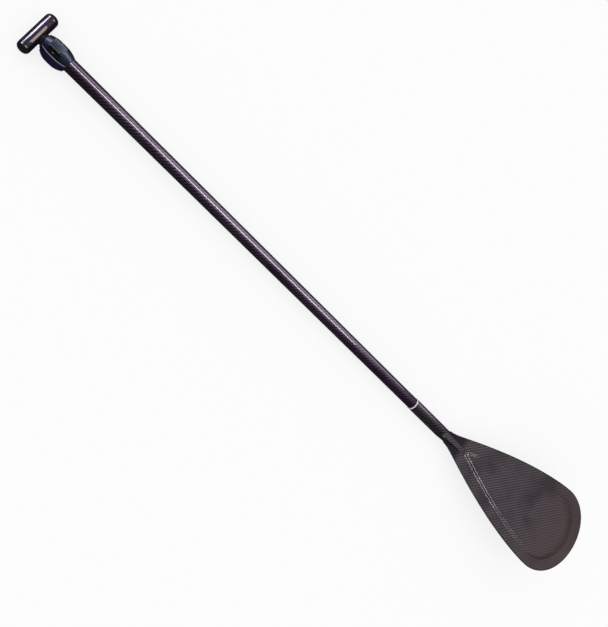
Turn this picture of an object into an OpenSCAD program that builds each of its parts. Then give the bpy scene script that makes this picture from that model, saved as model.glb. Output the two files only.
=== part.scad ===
// Adjustable single-blade paddle, lying on its back: T-grip, telescoping extension, cam-lever
// clamp, carbon shaft and foam-cored blade. Millimetres. +X runs from the grip to the blade tip,
// +Y across the blade, +Z up, away from the surface that the paddle lies on.

/* [Grip] */
// Diameter of the palm bar
bar_d = 26; // [22:0.5:36]
// Length of the palm bar with its two end caps
bar_len = 92; // [80:1:130]
// Wall of the palm bar's tube
bar_wall = 2.4; // [1.5:0.1:4]
// Length of one domed end cap outside the bar
cap_len = 11; // [6:0.5:16]
// Length of the plug on an end cap, inside the bar
cap_plug_len = 7; // [4:0.5:12]
// Radius of the grip's stem where it leaves the bar
stem_r = 10; // [8:0.25:11]
// Length of the grip's spigot inside the extension tube
spigot_len = 38; // [20:1:60]
// Gap between the bar and the clamp while the paddle is at its shortest
stem_gap = 3.6; // [0.7:0.1:12]

/* [Extension] */
// Outer radius of the extension tube
ext_r = 12.85; // [12:0.05:13]
// Wall of the extension tube
ext_wall = 1.55; // [1:0.05:2.5]
// Length of the extension tube
ext_len = 560; // [480:10:640]
// Width of the anti-twist groove along the extension tube
key_w = 4; // [3:0.5:6]
// Depth of the anti-twist groove
key_depth = 0.7; // [0.4:0.1:1]
// Length of the foot plug's flange, which guides the tube in the shaft
foot_len = 14; // [12:1:24]
// Length of the foot plug's spigot inside the tube
foot_spigot_len = 16; // [8:1:30]
// Section radius of the foot's sealing ring
seal_r = 1.2; // [0.8:0.1:1.4]

/* [Shaft] */
// Outer radius of the main shaft
shaft_r = 14.5; // [14:0.05:15.5]
// Wall of the main shaft
shaft_wall = 1.3; // [1:0.05:1.4]
// Length of the main shaft, its ends inside the clamp and the neck included
shaft_len = 1145; // [900:5:1400]
// Length of the foam bung that closes the shaft below the extension
bung_len = 25; // [15:1:60]

/* [Clamp] */
// Largest radius of the clamp's barrel
clamp_r = 20.8; // [19.5:0.1:23]
// Radius of the clamp's rims at both ends
clamp_rim_r = 15.4; // [15.2:0.1:17]
// Length of the clamp along the shaft
clamp_len = 56.5; // [52:0.5:70]
// Length of the rounded shoulder at the grip end
clamp_top_shoulder = 19; // [10:0.5:22]
// Length of the rounded shoulder at the blade end
clamp_low_shoulder = 21.5; // [10:0.5:24]
// How far the shaft goes into the clamp
clamp_grip_len = 17; // [12:0.5:20]
// Width of the slit that lets the clamp close
slit_w = 1; // [0.8:0.1:2]
// Length of the boss and of the window beside it
boss_len = 26; // [20:1:30]
// Height of the boss's flat above the shaft's centre line
boss_h = 20.9; // [20:0.1:23]
// Half width of the boss on the bolt head's side
boss_half_w = 11; // [9:0.5:13]
// Turn of the boss about the shaft, from straight up towards +Y
boss_turn = 5; // [0:1:20]
// Radius of the clamp bolt's shank
bolt_r = 1.5; // [1.25:0.25:2]
// Radius of the clamp bolt's head
bolt_head_r = 2.75; // [2.5:0.25:3.5]
// Height of the clamp bolt's head
bolt_head_h = 2.2; // [1.5:0.1:3]
// Radius of the lever's pivot pin, a cross-threaded barrel nut
pin_r = 2.4; // [2.2:0.1:3]
// Radius of the lever's hub
hub_r = 4.4; // [4:0.1:5]
// How far the cam's lobe stands out of the hub's round
cam_rise = 0.5; // [0.3:0.1:0.8]
// Thickness of the steel plate that the cam presses on
plate_t = 0.9; // [0.6:0.1:1.5]
// Greatest thickness of the lever over the barrel
lever_t = 5.2; // [3.5:0.1:7]
// Length of the lever along the shaft
lever_len = 51; // [40:1:54]
// Angle round the shaft that the lever's plate covers
lever_wrap = 94; // [70:1:96]

/* [Blade] */
// Length of the blade from the throat to the tip
blade_len = 500; // [400:5:560]
// Greatest width of the blade
blade_w = 224; // [170:2:260]
// Share of the length at which the blade is widest
blade_widest = 0.8; // [0.7:0.01:0.85]
// Angle between the blade and the shaft
blade_angle = 8.5; // [4:0.5:14]
// How far the blade's long edges stand forward of its middle
blade_scoop = 6; // [0:0.5:14]
// Thickness of one carbon skin
skin_t = 1.2; // [0.8:0.1:2]
// Height of the cored panel over the rim on the front face
panel_h = 6; // [3:0.5:9]
// Height of the cored panel over the rim on the back face
panel_back_h = 3; // [1:0.5:6]
// Width of the rim outside the cored panel
rim_w = 22; // [14:1:30]
// Distance from the throat to the panel's point
panel_start = 72; // [60:1:120]
// Width of the edge rail
rail_w = 2.4; // [1.5:0.1:4]
// Outer radius of the neck where the shaft enters it
neck_r = 15.5; // [15.2:0.1:17]
// Outer radius of the neck at the blade's throat
throat_r = 15; // [14.8:0.1:16.5]
// Length of the neck
neck_len = 113; // [80:1:160]
// Length of the shaft inside the neck
neck_socket = 82; // [50:1:100]
// Length of the trim ring between shaft and neck
ring_len = 2.6; // [1.5:0.1:5]
// Outer radius of the trim ring
ring_r = 15.9; // [15.2:0.1:17]

/* [Hidden] */
$fn = 64;
slack = 0.05;           // radial clearance of a glued or running fit
gap = 0.3;              // clearance between pieces that move past each other
eps = 0.01;             // lets a cut run past the face that it opens

// Places along the shaft, from the top of the grip.
bar_x = bar_d / 2;
stem_flare = 2.5;
washer_t = 0.6;
tube_x = bar_d - 0.1;
clamp_x = bar_d + stem_gap;
clamp_end = clamp_x + clamp_len;
shaft_x = clamp_end - clamp_grip_len;
shaft_end = shaft_x + shaft_len;
neck_x = shaft_end - neck_socket;
throat_x = neck_x + neck_len;
foot_x = tube_x + ext_len;
total_len = throat_x + blade_len * cos(blade_angle) + rail_w;
boss_mid = clamp_x + clamp_top_shoulder + (clamp_len - clamp_top_shoulder - clamp_low_shoulder) / 2
           - 2;
lever_mid = clamp_x + clamp_len / 2 + 1;

// Radii that follow from what fits inside what.
ext_bore = ext_r - ext_wall;
shaft_bore = shaft_r - shaft_wall;
core_r = bar_d / 2 - bar_wall - slack;
liner_r = shaft_r - slack;
liner_bore = ext_r + slack;
flange_r = shaft_bore - slack;

// The clamp bolt runs across the boss, just outside the liner; the lever's pin crosses its end.
bolt_h = shaft_r + bolt_r + 0.9;
pin_y = sqrt(pow(clamp_r + 0.6, 2) - pow(bolt_h, 2));
plate_y = pin_y - hub_r - cam_rise - slack - plate_t;
slit_y = plate_y - 2.6 - slit_w / 2;
head_seat_y = boss_half_w - bolt_head_h - 1.3;
pin_angle = atan2(pin_y, bolt_h);

// Moves a piece from the shaft's own axis to its place over the ground.
module place() translate([-total_len / 2, 0, clamp_r]) children();

// Turns +Z to run along the shaft, at a distance from the grip's top.
module along(x) translate([x, 0, 0]) rotate([0, 90, 0]) children();

// The boss's frame: +X out of the boss, +Y towards the lever, +Z along the shaft.
module in_boss() rotate([0, 90, 0]) rotate([0, 0, 180 - boss_turn]) children();

module tube(r, bore, h) {
    difference() {
        cylinder(r = r, h = h);
        translate([0, 0, -eps]) cylinder(r = bore, h = h + 2 * eps);
    }
}

// ---------------------------------------------------------------- grip

module palm_bar() {
    half = bar_len / 2 - cap_len;
    color("#1c1a22") place() difference() {
        translate([bar_x, -half, 0]) rotate([-90, 0, 0]) tube(bar_d / 2, bar_d / 2 - bar_wall, 2 * half);
        along(bar_x) cylinder(r = stem_r + slack, h = bar_d);
        along(tube_x - stem_flare) cylinder(r1 = stem_r + slack, r2 = ext_r + slack, h = stem_flare);
        along(tube_x - eps) cylinder(r = ext_r + slack, h = 1);
    }
}

// Domed cap: a flat disc with a quarter-round shoulder, and a plug into the bar.
module end_cap() {
    shoulder = min(cap_len, bar_d / 2 - 1);
    rotate_extrude() polygon([
        [0, -cap_plug_len], [core_r, -cap_plug_len], [core_r, 0], [bar_d / 2, 0],
        for (i = [0:10]) [bar_d / 2 - shoulder * (1 - cos(9 * i)), cap_len - shoulder * (1 - sin(9 * i))],
        [0, cap_len]
    ]);
}

module end_cap_left() {
    color("#17151d") place() translate([bar_x, -(bar_len / 2 - cap_len), 0]) rotate([90, 0, 0]) end_cap();
}

module end_cap_right() {
    color("#17151d") place() translate([bar_x, bar_len / 2 - cap_len, 0]) rotate([-90, 0, 0]) end_cap();
}

// T-piece inside the bar, its stem flaring to the tube's radius, and a spigot into the tube.
module grip_core() {
    half = bar_len / 2 - cap_len - cap_plug_len - 1;
    color("#26242c") place() {
        difference() {
            union() {
                translate([bar_x, -half, 0]) rotate([-90, 0, 0]) cylinder(r = core_r, h = 2 * half);
                along(bar_x) cylinder(r = stem_r, h = tube_x - stem_flare - bar_x + eps);
                along(tube_x - stem_flare) cylinder(r1 = stem_r, r2 = ext_r, h = stem_flare);
                along(tube_x - eps) cylinder(r = ext_bore - slack, h = spigot_len);
            }
            along(tube_x + 4) cylinder(r = ext_bore - slack - 2.5, h = spigot_len);
        }
    }
}

// ---------------------------------------------------------------- extension

module extension_tube() {
    color("#20202a") place() difference() {
        along(tube_x) tube(ext_r, ext_bore, ext_len);
        translate([tube_x - 1, -key_w / 2, -ext_r - 1])
            cube([ext_len + 2, key_w, 1 + key_depth]);
    }
}

// Nylon foot: a spigot in the tube and a flange that guides it, with a groove for the seal.
module extension_foot() {
    color("#2b2b30") place() along(foot_x) difference() {
        union() {
            translate([0, 0, -foot_spigot_len]) cylinder(r = ext_bore - slack, h = foot_spigot_len + eps);
            cylinder(r = flange_r, h = foot_len);
        }
        translate([0, 0, foot_len / 2 - seal_r]) tube(flange_r + 1, flange_r - 2 * seal_r, 2 * seal_r);
        translate([0, 0, -foot_spigot_len - 1])
            cylinder(r = ext_bore - 3, h = foot_spigot_len + foot_len - 2);
    }
}

module foot_seal() {
    color("#111111") place() along(foot_x + foot_len / 2)
        rotate_extrude() translate([flange_r - seal_r, 0]) circle(r = seal_r - eps, $fn = 24);
}

// ---------------------------------------------------------------- clamp

// Radius of the barrel at a distance from its grip end.
function barrel_r(x) =
    let (low = clamp_len - clamp_low_shoulder)
    clamp_rim_r + (clamp_r - clamp_rim_r) *
        (x < clamp_top_shoulder ? sin(90 * x / clamp_top_shoulder)
            : x > low ? cos(90 * (x - low) / clamp_low_shoulder) : 1);

function steps(from, to, count) = [for (i = [0:count]) from + (to - from) * i / count];

barrel_stations = concat(steps(0, clamp_top_shoulder, 7),
                         steps(clamp_len - clamp_low_shoulder, clamp_len, 7));

// Outline of the window beside the boss: round where the hub turns, open to the outside.
module window_outline() {
    swing = hub_r + cam_rise + gap;
    translate([bolt_h, pin_y]) circle(r = swing);
    translate([bolt_h - 2, plate_y]) square([clamp_r, pin_y - plate_y + swing - 0.8]);
}

module clamp_body() {
    window_x = boss_mid - boss_len / 2;
    slit_end = shaft_x - 3;
    color("#2a2f45") place() difference() {
        union() {
            along(clamp_x) rotate_extrude() polygon(concat(
                [[shaft_r - 1, 0]],
                [for (x = barrel_stations) [barrel_r(x), x]],
                [[shaft_r - 1, clamp_len]]));
            in_boss() translate([shaft_r + 1, -boss_half_w, window_x - 0.6])
                cube([boss_h - shaft_r - 1, boss_half_w + plate_y + 1, boss_len + 1.2]);
        }
        // bore for the liner and the shaft
        along(clamp_x - 1) cylinder(r = shaft_r, h = clamp_len + 2);
        // slit, with a round end that stops it from tearing
        in_boss() translate([shaft_r - 6, slit_y - slit_w / 2, clamp_x - 1])
            cube([clamp_r, slit_w, slit_end - clamp_x + 1]);
        in_boss() translate([5, slit_y, slit_end]) rotate([0, 90, 0]) cylinder(r = 1.5, h = clamp_r + 5);
        in_boss() translate([0, 0, window_x]) linear_extrude(boss_len) window_outline();
        // bolt hole, and the pocket for the washer and the head
        in_boss() translate([bolt_h, -boss_half_w - 6, boss_mid]) rotate([-90, 0, 0])
            cylinder(r = bolt_r + 0.2, h = boss_half_w + 6 + plate_y + 1);
        in_boss() translate([bolt_h, -head_seat_y, boss_mid]) rotate([90, 0, 0])
            cylinder(r = bolt_head_r + 0.5, h = clamp_r);
    }
}

// Split nylon bush between the clamp and the extension, with the rib that stops twisting.
module clamp_liner() {
    rib = key_depth - 0.1;
    color("#8a8c92") place() {
        difference() {
            along(clamp_x + 0.6) tube(liner_r, liner_bore, shaft_x - clamp_x - 0.8);
            in_boss() translate([shaft_r - 6, slit_y - slit_w / 2, clamp_x])
                cube([clamp_r, slit_w, shaft_x - clamp_x + 1]);
        }
        intersection() {
            translate([clamp_x + 0.6, -key_w / 2 + 0.15, -liner_bore - 0.3])
                cube([shaft_x - clamp_x - 0.8, key_w - 0.3, rib + 0.3]);
            along(clamp_x) cylinder(r = liner_bore + 0.3, h = clamp_len);
        }
    }
}

// The lever's plate follows the barrel, thickest at its middle.
function lever_rise(u) = lever_t * (1 - 0.55 * pow(abs(u), 2.2));

module lever_profile() {
    start = lever_mid - lever_len / 2 - clamp_x;
    rows = steps(0, lever_len, 14);
    polygon(concat(
        [for (x = rows) [barrel_r(start + x) + gap, start + x]],
        [for (i = [14:-1:0])
            [barrel_r(start + rows[i]) + gap + lever_rise(2 * rows[i] / lever_len - 1), start + rows[i]]]));
}

module clamp_lever() {
    hub_len = boss_len - 1;
    hub_x = boss_mid - hub_len / 2;
    slot = 2 * bolt_r + 1;
    color("#232840") place() difference() {
        union() {
            in_boss() translate([0, 0, clamp_x]) rotate([0, 0, pin_angle + 9])
                rotate_extrude(angle = lever_wrap) lever_profile();
            // cam: a round off the pin's centre, its high side on the plate while the lever is closed
            in_boss() translate([bolt_h, pin_y - cam_rise, hub_x]) cylinder(r = hub_r, h = hub_len);
            // web from the cam into the plate
            in_boss() rotate([0, 0, pin_angle]) translate([clamp_r + gap, 0, hub_x + 0.5])
                cube([hub_r - 0.6, 5.5, hub_len - 1]);
        }
        in_boss() translate([bolt_h, pin_y, hub_x - 1]) cylinder(r = pin_r + slack, h = hub_len + 2);
        // slot that clears the bolt through the lever's swing
        in_boss() translate([bolt_h - 2 * hub_r, pin_y - 2 * hub_r, boss_mid - slot / 2])
            cube([4 * hub_r, 2 * hub_r + pin_r, slot]);
    }
}

module lever_pin() {
    color("#b9bcc2") place() in_boss() difference() {
        translate([bolt_h, pin_y, boss_mid - boss_len / 2 + 1]) cylinder(r = pin_r, h = boss_len - 2);
        translate([bolt_h, pin_y - pin_r - 1, boss_mid]) rotate([-90, 0, 0])
            cylinder(r = bolt_r, h = 2 * pin_r + 2);
    }
}

module cam_plate() {
    width = 2 * (boss_h - bolt_h) - 0.4;
    color("#c4c6cb") place() in_boss() difference() {
        translate([bolt_h - 1.6, plate_y, boss_mid - boss_len / 2 + 1]) cube([width, plate_t, boss_len - 2]);
        translate([bolt_h, plate_y - 1, boss_mid]) rotate([-90, 0, 0])
            cylinder(r = bolt_r + 0.2, h = plate_t + 2);
    }
}

// Socket-head bolt: its head in the boss, its thread in the lever's pin.
module clamp_bolt() {
    head_y = -head_seat_y - washer_t;
    pin_far = sqrt(pow(pin_r, 2) - pow(bolt_r, 2));
    color("#9fa3aa") place() in_boss() translate([bolt_h, 0, boss_mid]) difference() {
        union() {
            translate([0, head_y, 0]) rotate([90, 0, 0]) cylinder(r = bolt_head_r, h = bolt_head_h);
            translate([0, head_y - eps, 0]) rotate([-90, 0, 0])
                cylinder(r = bolt_r - eps, h = pin_y + pin_far - head_y);
        }
        translate([0, head_y - bolt_head_h - eps, 0]) rotate([-90, 0, 0])
            cylinder(r = 1.25, h = 1.3, $fn = 6);
    }
}

module bolt_washer() {
    color("#c4c6cb") place() in_boss() translate([bolt_h, -head_seat_y - washer_t, boss_mid])
        rotate([-90, 0, 0]) tube(bolt_head_r + 0.35, bolt_r + 0.15, washer_t);
}

// ---------------------------------------------------------------- shaft

module outer_shaft() {
    color("#241c26") place() along(shaft_x) tube(shaft_r, shaft_bore, shaft_len);
}

module shaft_bung() {
    color("#6f6a60") place() along(foot_x + foot_len + 10) cylinder(r = shaft_bore, h = bung_len);
}

// Bright trim ring that covers the step between the shaft and the neck.
module joint_ring() {
    edge = 0.4;
    color("#e6e6ea") place() along(neck_x - ring_len) rotate_extrude() polygon([
        [shaft_r, 0], [ring_r - edge, 0], [ring_r, edge],
        [ring_r, ring_len - edge], [ring_r - edge, ring_len], [shaft_r, ring_len]]);
}

// ---------------------------------------------------------------- blade

module blade_neck() {
    color("#1b1a20") place() along(neck_x) difference() {
        cylinder(r1 = neck_r, r2 = throat_r, h = neck_len);
        translate([0, 0, -eps]) cylinder(r = shaft_r, h = neck_socket + eps);
        cylinder(r = throat_r - skin_t, h = neck_len + 1);
    }
}

module neck_plug() {
    color("#6f6a60") place() along(shaft_end + slack)
        cylinder(r = throat_r - skin_t, h = throat_x - shaft_end - 2 * slack);
}

// Half width of a leaf shape: it opens from its start, is widest at its shoulder and closes in an
// ellipse at its end.
function leaf(c, start, shoulder, end, half, power) =
    c <= start ? 0
    : c < shoulder ? half * (1 - pow(1 - (c - start) / (shoulder - start), power))
    : c < end ? half * sqrt(1 - pow((c - shoulder) / (end - shoulder), 2)) : 0;

widest = blade_widest * blade_len;
tip_rim = rim_w + 4;

function half_w(c) = pow(pow(leaf(c, 0, widest, blade_len, blade_w / 2, 1.55), 4) + pow(throat_r, 4)
                         * pow(1 - c / blade_len, 4), 0.25);
function panel_w(c) = leaf(c, panel_start, widest - 5, blade_len - tip_rim, blade_w / 2 - rim_w, 1.45);
function smooth(t) = let (u = min(1, max(0, t))) u * u * (3 - 2 * u);

// Share of the way from the round throat to the ridge's narrow end.
function ridge_fade(c) = smooth(c / (panel_start * 1.25));
function ridge_reach(c) = throat_r * (1 - 0.6 * ridge_fade(c));

// The core fills the round throat, narrows to the panel's point and widens with the panel.
function core_w(c) = max(panel_w(c), ridge_reach(c) * (1 - skin_t / throat_r));

// Height of the round ridge that carries the neck into the panel, at a distance from the middle.
function ridge(c, v, top) =
    let (reach = ridge_reach(c),
         high = throat_r + (top - throat_r) * ridge_fade(c))
    abs(v) >= reach ? 0 : high * sqrt(1 - pow(v / reach, 2)) * (1 - smooth((c - panel_start) / 26));

// Height of a face over the blade's middle surface: the rim, the cored panel and the ridge.
function face(c, v, top) =
    let (bevel = 8)
    max(skin_t + top * smooth((panel_w(c) - abs(v)) / bevel), ridge(c, v, top + skin_t));

// Columns across a row: two over each rim and ten over the core.
core_cols = 10;
function columns(c) =
    let (w = half_w(c), k = min(core_w(c), w - 0.8))
    concat([-w, -(w + k) / 2], [for (j = [0:core_cols]) -k * cos(180 * j / core_cols)], [(w + k) / 2, w]);

// Rows along the blade, closer together at the throat, at the panel's end and at the tip.
panel_end = blade_len - tip_rim;
rows = concat([for (i = [0:6]) panel_start * i / 6],
              [for (i = [1:9]) panel_start + (widest - panel_start) * i / 9],
              [for (i = [1:5]) widest + (panel_end - widest) * 0.993 * sin(18 * i)],
              let (turn = asin((panel_end - widest) / (blade_len - widest)))
              [for (i = [0:5]) widest + (blade_len - widest) * sin(turn + (86.8 - turn) * i / 5)]);

function at(c, v, n) = [
    throat_x + c * cos(blade_angle), v,
    c * sin(blade_angle) + blade_scoop * pow(v / (blade_w / 2), 2) + n];

// Closed solid through a list of rings with equal counts of points. A ring runs along its upper
// side and back along its lower side; where it is pointed, the two sides share their end points.
// Both sides are split along the same diagonals, so that solids laid against each other fit.
module loft(rings, pointed = false) {
    n = len(rings[0]);
    m = len(rings);
    half = pointed ? n / 2 : n / 2 - 1;
    lid = [for (j = [0:half - 1]) let (a = j, b = j + 1, d = pointed ? (n - j) % n : n - 1 - j,
                                       c = pointed ? n - j - 1 : n - 2 - j)
           each [if (a != d) [a, b, d], if (b != c) [b, c, d]]];
    polyhedron(
        points = [for (ring = rings) each ring],
        faces = concat(
            lid,
            [for (i = [0:m - 2]) for (j = [0:n - 1]) let (k = (j + 1) % n, a = i * n, b = a + n)
                each j < half ? [[a + j, b + j, a + k], [a + k, b + j, b + k]]
                    : [[a + j, b + j, b + k], [a + j, b + k, a + k]]],
            [for (f = lid) [for (q = [2:-1:0]) (m - 1) * n + f[q]]]),
        convexity = 6);
}

// Inner surface of a skin: flat over the rim, one skin's thickness inside over the core.
function inner(c, v, top) = abs(v) >= min(core_w(c), half_w(c) - 0.8) - eps ? 0
    : max(0, face(c, v, top) - skin_t);

function skin_ring(c, top, side) =
    let (cols = columns(c), last = len(cols) - 1)
    side > 0
        ? concat([for (j = [0:last]) at(c, cols[j], face(c, cols[j], top))],
                 [for (j = [last:-1:0]) at(c, cols[j], inner(c, cols[j], top))])
        : concat([for (j = [0:last]) at(c, cols[j], -inner(c, cols[j], top))],
                 [for (j = [last:-1:0]) at(c, cols[j], -face(c, cols[j], top))]);

module blade_front_skin() {
    color("#3d3840") place() loft([for (c = rows) skin_ring(c, panel_h, 1)]);
}

module blade_back_skin() {
    color("#39353c") place() loft([for (c = rows) skin_ring(c, panel_back_h, -1)]);
}

module blade_core() {
    color("#d8cf9e") place() loft(pointed = true, rings = [for (c = rows) if (c < panel_end - eps)
        let (k = min(core_w(c), half_w(c) - 0.8),
             cols = [for (j = [0:core_cols]) -k * cos(180 * j / core_cols)])
        concat([for (j = [0:core_cols]) at(c, cols[j], inner(c, cols[j], panel_h))],
               [for (j = [core_cols - 1:-1:1]) at(c, cols[j], -inner(c, cols[j], panel_back_h))])]);
}

// Moulded strip round the blade's edge, from one side of the throat to the other.
module edge_rail() {
    side = [for (c = rows) if (c > 20) c];
    count = len(side);
    path = concat([for (c = side) [c, -half_w(c)]], [for (i = [count - 1:-1:0]) [side[i], half_w(side[i])]]);
    last = len(path) - 1;
    color("#101014") place() loft([for (i = [0:last])
        let (a = path[max(0, i - 1)], b = path[min(last, i + 1)], d = b - a,
             out = [d[1], -d[0]] / norm(d) * rail_w,
             p = path[i], q = p + out)
        [at(p[0], p[1], skin_t), at(q[0], q[1], skin_t), at(q[0], q[1], -skin_t), at(p[0], p[1], -skin_t)]]);
}

palm_bar();
end_cap_left();
end_cap_right();
grip_core();
extension_tube();
extension_foot();
foot_seal();
clamp_body();
clamp_liner();
clamp_lever();
lever_pin();
cam_plate();
clamp_bolt();
bolt_washer();
outer_shaft();
shaft_bung();
joint_ring();
blade_neck();
neck_plug();
blade_front_skin();
blade_back_skin();
blade_core();
edge_rail();
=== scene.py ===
"""Looks of an adjustable single-blade paddle: T-grip, telescoping carbon extension, cam-lever
clamp, carbon shaft and foam-cored blade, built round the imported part. Everything is in metres."""

import logging
import math
from dataclasses import dataclass
from enum import Enum

import bmesh
import bpy
import numpy as np
from mathutils import Matrix, Vector


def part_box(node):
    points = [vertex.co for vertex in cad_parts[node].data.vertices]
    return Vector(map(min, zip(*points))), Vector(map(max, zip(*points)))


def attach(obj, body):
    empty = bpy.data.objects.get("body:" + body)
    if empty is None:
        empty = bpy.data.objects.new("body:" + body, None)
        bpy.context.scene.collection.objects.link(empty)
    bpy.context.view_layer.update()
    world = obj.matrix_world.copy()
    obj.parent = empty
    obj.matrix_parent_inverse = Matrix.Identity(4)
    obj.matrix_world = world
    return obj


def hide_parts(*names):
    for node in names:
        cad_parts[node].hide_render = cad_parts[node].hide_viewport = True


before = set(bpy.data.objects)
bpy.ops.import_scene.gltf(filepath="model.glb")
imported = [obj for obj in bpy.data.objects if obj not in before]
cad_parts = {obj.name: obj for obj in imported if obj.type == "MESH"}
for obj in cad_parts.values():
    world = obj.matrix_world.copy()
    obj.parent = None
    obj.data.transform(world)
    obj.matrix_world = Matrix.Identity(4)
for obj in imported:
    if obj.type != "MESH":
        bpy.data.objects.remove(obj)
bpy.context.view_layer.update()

MM = 0.001
Points = np.ndarray
log = logging.getLogger("paddle")


class Body(Enum):
    """The part's moving bodies."""

    SHAFT = "shaft_and_blade"
    GRIP = "grip_and_extension"
    LEVER = "lever"


class Axis(Enum):
    """Direction that a turned piece runs along."""

    X = 0
    Y = 1


# ---------------------------------------------------------------- nodes and colours


def linear(hex_colour: str) -> tuple[float, float, float, float]:
    """Turns an sRGB hex colour into linear RGBA.

    Args:
        hex_colour: six hex digits after a hash sign.

    Returns:
        Red, green, blue and alpha. Each channel c becomes c / 12.92 up to 0.04045, and
        ((c + 0.055) / 1.055) to the power 2.4 above it.
    """
    channels = [int(hex_colour[i : i + 2], 16) / 255 for i in (1, 3, 5)]
    spread = [c / 12.92 if c <= 0.04045 else ((c + 0.055) / 1.055) ** 2.4 for c in channels]
    return (spread[0], spread[1], spread[2], 1.0)


def add(tree: bpy.types.NodeTree, kind: str, inputs: dict | None = None, **settings) -> bpy.types.Node:
    """Adds a node with its settings and links.

    Args:
        tree: the node tree that gets the node.
        kind: the node's type without its "ShaderNode" start.
        inputs: value or source socket for each input, by name or number.
        settings: the node's own properties.

    Returns:
        The new node.
    """
    node = tree.nodes.new("ShaderNode" + kind)
    for name, value in settings.items():
        setattr(node, name, value)
    for key, value in (inputs or {}).items():
        if isinstance(value, bpy.types.NodeSocket):
            tree.links.new(value, node.inputs[key])
        else:
            node.inputs[key].default_value = value
    return node


# ---------------------------------------------------------------- finishes


@dataclass(frozen=True)
class Finish:
    """A finish: its colours, and the gloss of its surface and of the clear coat over it."""

    name: str
    colour: str
    second: str
    roughness: float
    metallic: float = 0.0
    coat: float = 0.0
    coat_roughness: float = 0.03

    def make(self) -> bpy.types.Material:
        """Builds the material: the pattern's colour, roughness and height into one shader."""
        material = bpy.data.materials.new(self.name)
        material.use_nodes = True
        tree = material.node_tree
        tree.nodes.clear()
        colour, roughness, height, depth = self.pattern(tree)
        bump = add(tree, "Bump", {"Height": height, "Strength": 0.8, "Distance": depth})
        shader = add(tree, "BsdfPrincipled", {
            "Base Color": colour, "Roughness": roughness, "Metallic": self.metallic,
            "Coat Weight": self.coat, "Coat Roughness": self.coat_roughness, "Normal": bump.outputs[0]})
        add(tree, "OutputMaterial", {"Surface": shader.outputs[0]})
        return material

    def pattern(self, tree: bpy.types.NodeTree) -> tuple:
        """Sockets of colour, roughness and height, and the height's real depth."""
        raise NotImplementedError

    def varied(self, tree: bpy.types.NodeTree, source: bpy.types.NodeSocket,
               spread: float) -> bpy.types.NodeSocket:
        """Roughness that follows a 0 to 1 socket, from below the finish's own value to above it."""
        return add(tree, "MapRange", {"Value": source, "To Min": self.roughness - spread,
                                      "To Max": self.roughness + spread}).outputs[0]

    def blended(self, tree: bpy.types.NodeTree, factor: bpy.types.NodeSocket) -> bpy.types.NodeSocket:
        """Colour between the finish's two colours."""
        return add(tree, "Mix", {"Factor": factor, 6: linear(self.colour), 7: linear(self.second)},
                   data_type="RGBA").outputs[2]


@dataclass(frozen=True)
class MouldedPlastic(Finish):
    """Injection-moulded plastic: a fine spark-eroded grain with faint flow marks."""

    grain: float = 0.5 * MM

    def pattern(self, tree: bpy.types.NodeTree) -> tuple:
        """Grain as small noise in the height, flow marks as broad noise in the colour."""
        place = add(tree, "TexCoord").outputs["Object"]
        grain = add(tree, "TexNoise", {"Vector": place, "Scale": 1 / self.grain, "Detail": 2.0})
        flow = add(tree, "TexNoise", {"Vector": place, "Scale": 0.04 / MM, "Detail": 3.0})
        return (self.blended(tree, flow.outputs[0]), self.varied(tree, grain.outputs[0], 0.06),
                grain.outputs[0], 0.02 * MM)


@dataclass(frozen=True)
class LeverPlastic(MouldedPlastic):
    """Moulded lever: matt round its hub, painted black there as painted shade, and a pale line painted along
    its edge as a painted highlight.
    """

    edge_angle: float = math.radians(42)
    edge_width: float = math.radians(5)
    axis_height: float = 20.8 * MM
    hub_roughness: float = 0.8

    def pattern(self, tree: bpy.types.NodeTree) -> tuple:
        """Adds the hub's painted shade in black and the edge's painted highlight as a pale line, told apart
        by the angle round the shaft.
        """
        colour, roughness, height, depth = super().pattern(tree)
        parts = add(tree, "SeparateXYZ", {0: add(tree, "TexCoord").outputs["Object"]})
        aside = add(tree, "Math", {0: parts.outputs[1], 1: -1.0}, operation="MULTIPLY").outputs[0]
        above = add(tree, "Math", {0: parts.outputs[2], 1: self.axis_height}, operation="SUBTRACT").outputs[0]
        angle = add(tree, "Math", {0: aside, 1: above}, operation="ARCTAN2").outputs[0]
        beyond = add(tree, "Math", {0: angle, 1: self.edge_angle}, operation="GREATER_THAN").outputs[0]
        # Painted highlight: a pale line just past the edge angle, where the light catches the lever's edge.
        painted_highlight = add(tree, "MapRange", {"Value": angle, "From Min": self.edge_angle,
                                        "From Max": self.edge_angle + self.edge_width, "To Min": 1.0,
                                        "To Max": 0.0}, interpolation_type="SMOOTHSTEP").outputs[0]
        plate = add(tree, "Mix", {"Factor": painted_highlight, 6: colour, 7: linear("#a896b0")},
                    data_type="RGBA").outputs[2]
        # Painted shade: the hub, which sits in the dark slot beside the body, is painted near-black; its high
        # roughness is real.
        colour = add(tree, "Mix", {"Factor": beyond, 6: linear("#060409"), 7: plate},
                     data_type="RGBA").outputs[2]
        gloss = add(tree, "MapRange", {"Value": beyond, "To Min": self.hub_roughness,
                                       "To Max": self.roughness}).outputs[0]
        return colour, gloss, height, depth


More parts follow.
